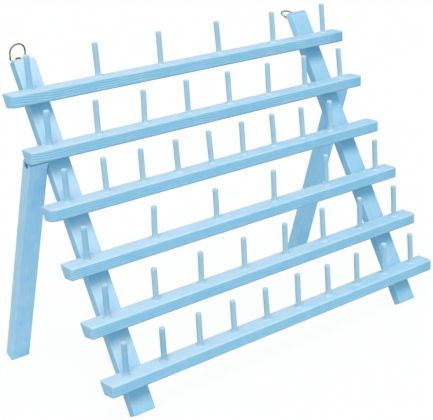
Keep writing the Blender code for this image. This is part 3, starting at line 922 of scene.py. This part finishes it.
def leg_dents(side):
    """Paint swells, and the pivot's recess in the leg's outer side."""
    plain = plain_dents(len(side) + 7)

    def dents(points, normals, along, way):
        outer = held(normals[:, 0] * OUTWARD[side]) ** 4
        recess = recess_share(points[None, :, 1], along) * outer[None]
        return plain(points, normals, along, way) + PIVOT_RECESS["depth"] * recess
    return dents


def leg_place(side):
    """Leg place of a point: each leg's own lean and flare, as LEG_STRAYS says, in mm."""
    (top_inner, low_inner), (top_outer, low_outer), (top_back, low_back) = LEG_STRAYS[side]
    outward = OUTWARD[side]
    inner = UPRIGHT_EDGES[side] + (UPRIGHT_WIDTH if side == "right" else 0.0) + outward * LEG_SPACE

    def place(across, back, along):
        down = held(-along / LEG_REACH)
        share = held((across - inner) * outward / LEG_WIDTH)
        near, far = blend(down, top_inner, low_inner), blend(down, top_outer, low_outer)
        stray = outward * MM * (near * (1 - share) + far * share)
        set_back = MM * blend(down, top_back, low_back)
        return on_leg(across + stray, back + set_back, along)
    return place


for side, edge in UPRIGHT_EDGES.items():
    low = edge - LEG_SPACE - LEG_WIDTH if side == "left" else edge + UPRIGHT_WIDTH + LEG_SPACE
    high = low + LEG_WIDTH
    section = [(low, LEG_FRONT), (low, LEG_BACK), (high, LEG_BACK), (high, LEG_FRONT)]
    rings, share = strip(
        section, 1.0 * MM, -LEG_REACH, leg_end, spacing=0.45 * MM, pitch=2.5 * MM,
        place=leg_place(side), dents=leg_dents(side), end_radius=1.0 * MM,
        extra=np.arange(-2.0, 6.0, 0.4) * MM,
    )
    make_piece(
        f"leg_strip_{side}", rings, leg_paint, f"leg_{side}", [f"rear_leg_{side}"], share,
        leg_look(side),
    )


# Hangers ---

def ring_path(steps=26):
    """Centre line of a ring as (across, up): a bar, two small corners, two sides, a half circle."""
    corner = np.linspace(0, math.pi / 2, 6)
    reach = RING_HALF_WIDTH - RING_CORNER
    right = np.stack([reach + RING_CORNER * np.sin(corner), RING_CORNER * (1 - np.cos(corner))], 1)
    turn = np.linspace(0, math.pi, steps)
    half = np.stack([RING_HALF_WIDTH * np.cos(turn), RING_STRAIGHT + RING_HALF_WIDTH * np.sin(turn)], 1)
    side = np.stack([np.full(4, RING_HALF_WIDTH), np.linspace(RING_CORNER, RING_STRAIGHT, 6)[1:-1]], 1)
    left_side = side[::-1] * (-1, 1)
    left = right[::-1] * (-1, 1)
    bar = np.stack([np.linspace(-reach, reach, 8)[1:-1], np.zeros(6)], 1)
    return np.concatenate([right, side, half, left_side, left, bar])


def strap_path():
    """Side view of a strap as (up, back) with its half width: up the back, round the bar and down.

    The half width is a round foot, sqrt(r^2 - d^2), then full, then the narrow neck.
    """
    lay = -FOLD_RADIUS + STRAP_THICKNESS / 2
    round_foot = 13.45 - 3.9 * (1 - np.cos(np.linspace(0, math.pi / 2, 12)))
    rise = np.concatenate([round_foot, [8.0, 6.2, 5.2, 4.6, 3.4, 2.2, 1.0]]) * -MM
    depth = np.clip(-rise / MM, 0, None)
    foot = np.sqrt(np.clip(16 - np.clip(depth - 9.5, 0, None) ** 2, 0.02, None))
    neck = held((depth - 4.5) / 1.8)
    half = np.where(depth > 9.5, foot, 2.2 + 1.8 * neck) * MM
    round_turn = np.linspace(0, math.pi, 15)
    fold_radius = FOLD_RADIUS - STRAP_THICKNESS / 2
    fold = np.stack([fold_radius * np.sin(round_turn), -fold_radius * np.cos(round_turn)], 1)
    tail_rise = np.array([-0.6, -1.4, -2.2, -3.0, -3.6]) * MM
    tail_back = fold_radius - np.array([0.05, 0.25, 0.45, 0.55, 0.6]) * MM
    ups = np.concatenate([rise, fold[:, 0], tail_rise])
    backs = np.concatenate([np.full(len(rise), lay), fold[:, 1], tail_back])
    halves = np.concatenate([half, np.full(len(fold) + len(tail_rise), 2.2 * MM)])
    return ups, backs, halves


def make_strap(side, bar):
    """Strap: a flat rounded section, half width by half thickness, carried along its side view."""
    ups, backs, halves = strap_path()
    ahead = np.stack([np.gradient(ups), np.gradient(backs)], 1)
    ahead /= np.linalg.norm(ahead, axis=1)[:, None]
    outward = np.stack([-ahead[:, 1], ahead[:, 0]], 1)
    angle = circle_angles(20)
    wide = np.sign(np.cos(angle)) * np.abs(np.cos(angle)) ** 0.25
    thick = np.sign(np.sin(angle)) * np.abs(np.sin(angle)) ** 0.6 * STRAP_THICKNESS / 2
    thin = np.clip(halves / (1.2 * MM), 0.3, 1)
    across = halves[:, None] * wide[None]
    up = ups[:, None] + outward[:, :1] * thick[None] * thin[:, None]
    back = backs[:, None] + outward[:, 1:] * thick[None] * thin[:, None]
    rings = on_board(bar[0] + across, bar[1] + up, bar[2] - back)

    def look(points, normals):
        """A glint painted over the fold, and shade painted in a band across its front."""
        up, out = off_board(points)
        rise = (up - bar[1]) / MM
        dark = (out > bar[2] + 0.3 * MM) & (rise > -0.6) & (rise < 1.0)
        return held(1 + rise / 3) * ~dark, np.where(dark, 0.35, 1.0)

    make_piece(
        f"strap_metal_{side}", rings, aged_brass, "board", [f"hanger_strap_{side}"],
        look=look,
    )


def screw_head(radius, dome, slot_depth, shank_radius, shank_length, rim):
    """Screw: a domed head with a straight slot, a rim, and a shank that ends in a point.

    Head height over the seat = rim + dome (1 - (r / radius)^2), less slot_depth within the slot.
    """
    radii = radius * np.concatenate([[0.06], np.linspace(0.16, 0.9, 7), [0.96, 1.0]])
    top = rim + dome * (1 - (radii / radius) ** 2)
    profile = [(r, z) for r, z in zip(radii, top)]
    profile += [(radius, rim * 0.5), (radius * 0.98, 0.0), (shank_radius, 0.0)]
    for step in np.linspace(0, 1, 14)[1:]:
        thread = 0.12 * MM * math.sin(step * 40)
        taper = 1 - max(0.0, step - 0.7) / 0.32
        profile.append((max(0.08 * MM, shank_radius * taper + thread * taper), -shank_length * step))

    def cut(r, z, angle):
        inside = np.abs(r * np.sin(angle)) < 0.16 * radius
        on_head = (z > rim * 0.8) & (r < radius * 0.93)
        return r, z - slot_depth * (inside & on_head)
    return turned(profile, 40, cut)


def wire_ring(side, bar, swing):
    """Ring: its path stands on the bar, turned a little in its own plane, and leans by the swing."""
    path = ring_path()
    turn = math.radians(RING_TURNS[side])
    path = path @ np.array([[math.cos(turn), -math.sin(turn)], [math.sin(turn), math.cos(turn)]])
    angle = math.radians(swing)
    over, off = path[:, 1] * math.cos(angle), path[:, 1] * math.sin(angle)
    centre = on_board(bar[0] + path[:, 0], bar[1] + over, bar[2] + off)
    rings = tube(centre, RING_WIRE_RADIUS, WIRE_SIDES)
    # A glint painted on the bar and on a band of each side, as paler metal
    at_bar, at_side = path[:, 1] < 0.6 * MM, np.abs(path[:, 1] - 0.8 * RING_STRAIGHT) < 0.7 * MM
    painted_glint = np.repeat(at_bar * 0.9 + at_side * 0.5, WIRE_SIDES)
    make_piece(
        f"wire_ring_{side}", rings, aged_brass, f"ring_{side}", [f"hanger_ring_{side}"],
        look=lambda points, normals: (painted_glint, 1.0), loop=True,
    )


BACK = on_board(0, 0, -1) - on_board(0, 0, 0)
UPWARD = on_board(0, 1, 0) - on_board(0, 0, 0)
for side, (rise, swing) in HANGERS.items():
    middle = UPRIGHT_EDGES[side] + UPRIGHT_WIDTH / 2
    bar = (middle, UPRIGHT_LENGTH + rise, -UPRIGHT_THICKNESS - STRAP_GAP - FOLD_GAP - FOLD_RADIUS)
    wire_ring(side, bar, swing)
    make_strap(side, bar)
    seat = on_board(middle, bar[1] - STRAP_SCREW_DROP, -UPRIGHT_THICKNESS - STRAP_GAP - STRAP_THICKNESS)
    slot = ACROSS * math.cos(STRAP_SCREW_TURN) + UPWARD * math.sin(STRAP_SCREW_TURN)
    rings = framed(screw_head(*STRAP_SCREW), seat, slot, np.cross(BACK, slot), BACK)
    make_piece(
        f"strap_fixing_{side}", rings, screw_steel, "board", [f"strap_screw_{side}"],
    )


# Pivot screws, and guessed rail screws painted over on the uprights' backs ---

for side, edge in UPRIGHT_EDGES.items():
    face = edge if side == "right" else edge + UPRIGHT_WIDTH
    seat = on_board(face + OUTWARD[side] * 0.35 * MM, *PIVOT)
    axis = np.array([-OUTWARD[side], 0.0, 0.0])
    rings = framed(screw_head(*PIVOT_SCREW), seat, UPWARD, np.cross(axis, UPWARD), axis)
    make_piece(
        f"pivot_fixing_{side}", rings, screw_steel, f"leg_{side}",
        [f"pivot_screw_{side}"],
    )

for side, edge in UPRIGHT_EDGES.items():
    for row in range(len(ROW_PLACES)):
        corners = np.array(rail_corners(row))
        up = (corners[2, 0] + corners[3, 0]) / 2 + 0.5 * MM * math.sin(row * 3 + len(side))
        seat = on_board(edge + UPRIGHT_WIDTH / 2, up, -UPRIGHT_THICKNESS + 0.1 * MM)
        turn = 0.7 * row + len(side)
        across = ACROSS * math.cos(turn) + UPWARD * math.sin(turn)
        rings = framed(screw_head(*RAIL_SCREW), seat, across, np.cross(BACK, across), BACK)
        make_piece(
            f"rail_fixing_{side}_{row + 1}", rings, upright_paint, "board",
            look=lambda points, normals: (0.25, 1.0),
        )


# Floor, light and camera ---

def mix_surfaces(tree, share, first, second, output):
    """Two shaders mixed by a share, on to the tree's output."""
    mixed = add_node(tree, "MixShader", 0, {0: share, 1: first, 2: second})
    set_inputs(tree, tree.nodes[output], {"Surface": mixed})


def make_floor():
    """White floor: shown as white with the object's shadow, plain pale to every other ray."""
    mesh = bpy.data.meshes.new("floor")
    corners = [(x * FLOOR_REACH, y * FLOOR_REACH, 0) for x, y in ((-1, -1), (1, -1), (1, 1), (-1, 1))]
    mesh.from_pydata(corners, [], [(0, 1, 2, 3)])
    floor = bpy.data.objects.new("floor", mesh)
    bpy.context.scene.collection.objects.link(floor)
    material, tree, shader = new_material("floor_white")
    set_inputs(tree, shader, {
        "Base Color": opaque(FLOOR_COLOUR), "Roughness": 0.9, "Specular IOR Level": 0.0,
    })
    glow = add_node(tree, "Emission", 0, {"Color": WHITE})
    rays = tree.nodes.new("ShaderNodeLightPath").outputs
    seen = add_math(tree, "MAXIMUM", rays["Is Camera Ray"], rays["Is Glossy Ray"])
    share = add_math(tree, "MULTIPLY", seen, FLOOR_GLOW)
    mix_surfaces(tree, share, shader.outputs[0], glow, "Material Output")
    mesh.materials.append(material)


def make_light():
    """A broad high lamp from the left front, and an even bluish sky that is seen as white."""
    lamp = bpy.data.lights.new("high_window", "SUN")
    lamp.energy = LAMP_STRENGTH
    lamp.angle = LAMP_SPREAD
    lamp.color = LAMP_COLOUR
    made = bpy.data.objects.new("high_window", lamp)
    made.rotation_euler = Vector(LAMP_TOWARDS).to_track_quat("Z", "Y").to_euler()
    bpy.context.scene.collection.objects.link(made)
    world = bpy.data.worlds.new("white_room")
    world.use_nodes = True
    tree = world.node_tree
    sky = tree.nodes["Background"]
    set_inputs(tree, sky, {"Color": opaque(SKY_COLOUR), "Strength": SKY_STRENGTH})
    white = add_node(tree, "Background", 0, {"Color": WHITE, "Strength": 1.0})
    rays = tree.nodes.new("ShaderNodeLightPath").outputs
    glossy = add_math(tree, "MAXIMUM", rays["Is Glossy Ray"], rays["Is Transmission Ray"])
    seen = add_math(tree, "MAXIMUM", rays["Is Camera Ray"], glossy)
    mix_surfaces(tree, seen, sky.outputs[0], white, "World Output")
    bpy.context.scene.world = world
    bpy.context.scene.view_settings.view_transform = "Standard"


def make_camera():
    """Camera from its azimuth, dip and roll; the shift puts the picture's centre right."""
    ahead = Vector((
        math.sin(CAMERA_AZIMUTH) * math.cos(CAMERA_DIP),
        math.cos(CAMERA_AZIMUTH) * math.cos(CAMERA_DIP),
        -math.sin(CAMERA_DIP),
    ))
    level = ahead.cross(Vector((0, 0, 1))).normalized()
    down = ahead.cross(level)
    right = math.cos(CAMERA_ROLL) * level - math.sin(CAMERA_ROLL) * down
    upward = -(math.sin(CAMERA_ROLL) * level + math.cos(CAMERA_ROLL) * down)
    data = bpy.data.cameras.new("camera")
    data.sensor_fit = "HORIZONTAL"
    data.sensor_width = SENSOR_WIDTH
    data.lens = SENSOR_WIDTH * CAMERA_FOCAL / IMAGE_WIDTH
    data.shift_x = (IMAGE_WIDTH / 2 - CAMERA_CENTRE[0]) / IMAGE_WIDTH
    data.shift_y = (CAMERA_CENTRE[1] - IMAGE_HEIGHT / 2) / IMAGE_WIDTH
    made = bpy.data.objects.new("camera", data)
    turn = Matrix((right, upward, -ahead)).transposed().to_4x4()
    made.matrix_world = Matrix.Translation(CAMERA_PLACE) @ turn
    bpy.context.scene.collection.objects.link(made)
    bpy.context.scene.camera = made


make_floor()
make_light()
make_camera()
